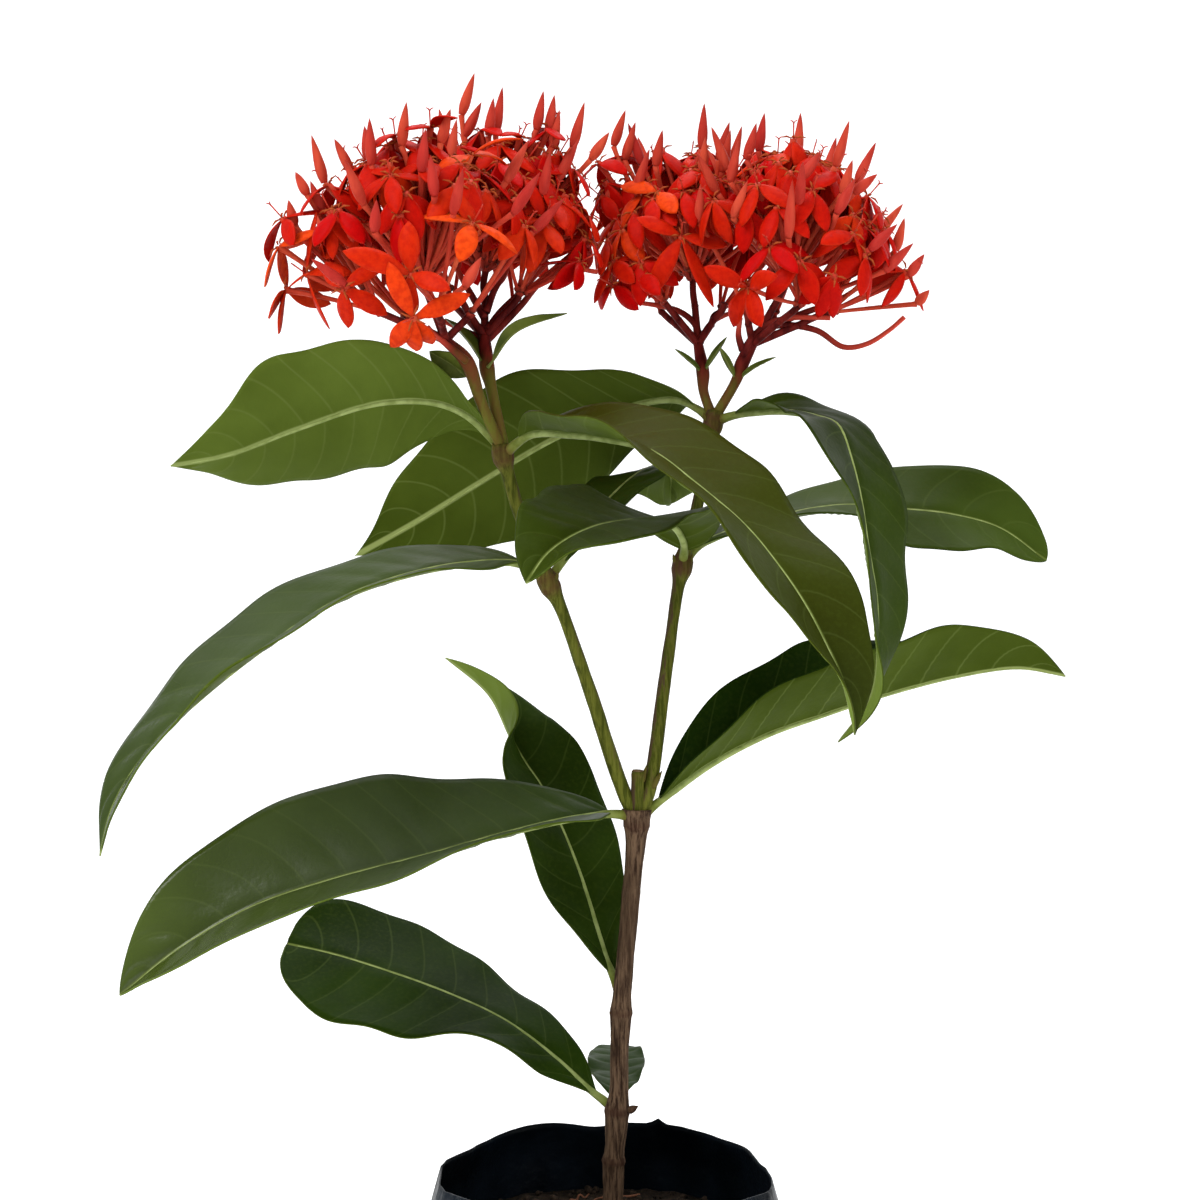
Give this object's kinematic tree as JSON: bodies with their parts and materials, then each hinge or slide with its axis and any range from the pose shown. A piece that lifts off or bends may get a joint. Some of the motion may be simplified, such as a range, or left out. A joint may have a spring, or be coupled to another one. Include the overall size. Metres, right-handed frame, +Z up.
{
  "type": "potted ixora plant",
  "caption": "Young red-flowered ixora with a forked woody stem, long pointed leaves and domed flower heads, standing in a soft black film nursery bag of potting mix.",
  "frame": {"origin": "middle of the bag's flat base, on the surface it stands on", "axes": "+Z up along the stem, -Y towards the plant's front, +X to the viewer's right"},
  "size_m": [0.2603, 0.1699, 0.4204],
  "materials": {
    "bag_film": "thin black polyethylene film, softly glossy and creased",
    "soil": "moist dark potting mix with fibres and fine roots",
    "bark": "brown fibrous bark, matt",
    "green_stem": "green bark with brown streaks, satin",
    "leaf": "leathery dark green leaf, glossy above and matt below",
    "bract": "small soft green leaf, satin",
    "peduncle": "maroon flower stalk, satin",
    "flower": "red to orange petals and salmon tubes, soft satin"
  },
  "bodies": {
    "root": {"bract_left_inner": "bract", "bract_left_outer": "bract", "bract_left_upper": "bract", "bract_right_far": "bract", "bract_right_inner": "bract", "bract_right_mid": "bract", "bract_right_outer": "bract", "cyme_left_back_1": "flower", "cyme_left_back_2": "flower", "cyme_left_back_3": "flower", "cyme_left_back_4": "flower", "cyme_left_back_top": "flower", "cyme_left_front_1": "flower", "cyme_left_front_2": "flower", "cyme_left_front_3": "flower", "cyme_left_front_4": "flower", "cyme_left_front_top": "flower", "cyme_right_back_1": "flower", "cyme_right_back_2": "flower", "cyme_right_back_3": "flower", "cyme_right_back_4": "flower", "cyme_right_back_top": "flower", "cyme_right_front_1": "flower", "cyme_right_front_2": "flower", "cyme_right_front_3": "flower", "cyme_right_front_4": "flower", "cyme_right_front_top": "flower", "grow_bag": "bag_film", "leaf_arching": "leaf", "leaf_back_right": "leaf", "leaf_back_short": "leaf", "leaf_behind": "leaf", "leaf_behind_stem": "leaf", "leaf_drooping": "leaf", "leaf_front": "leaf", "leaf_left_long": "leaf", "leaf_lower_left": "leaf", "leaf_lowest": "leaf", "leaf_right_folded": "leaf", "leaf_small_back": "leaf", "leaf_upper_left": "leaf", "left_branch": "green_stem", "main_stem": "bark", "peduncle_left_back": "peduncle", "peduncle_left_front": "peduncle", "peduncle_right_back": "peduncle", "peduncle_right_front": "peduncle", "right_branch": "green_stem", "soil": "soil"}
  },
  "joints": []
}
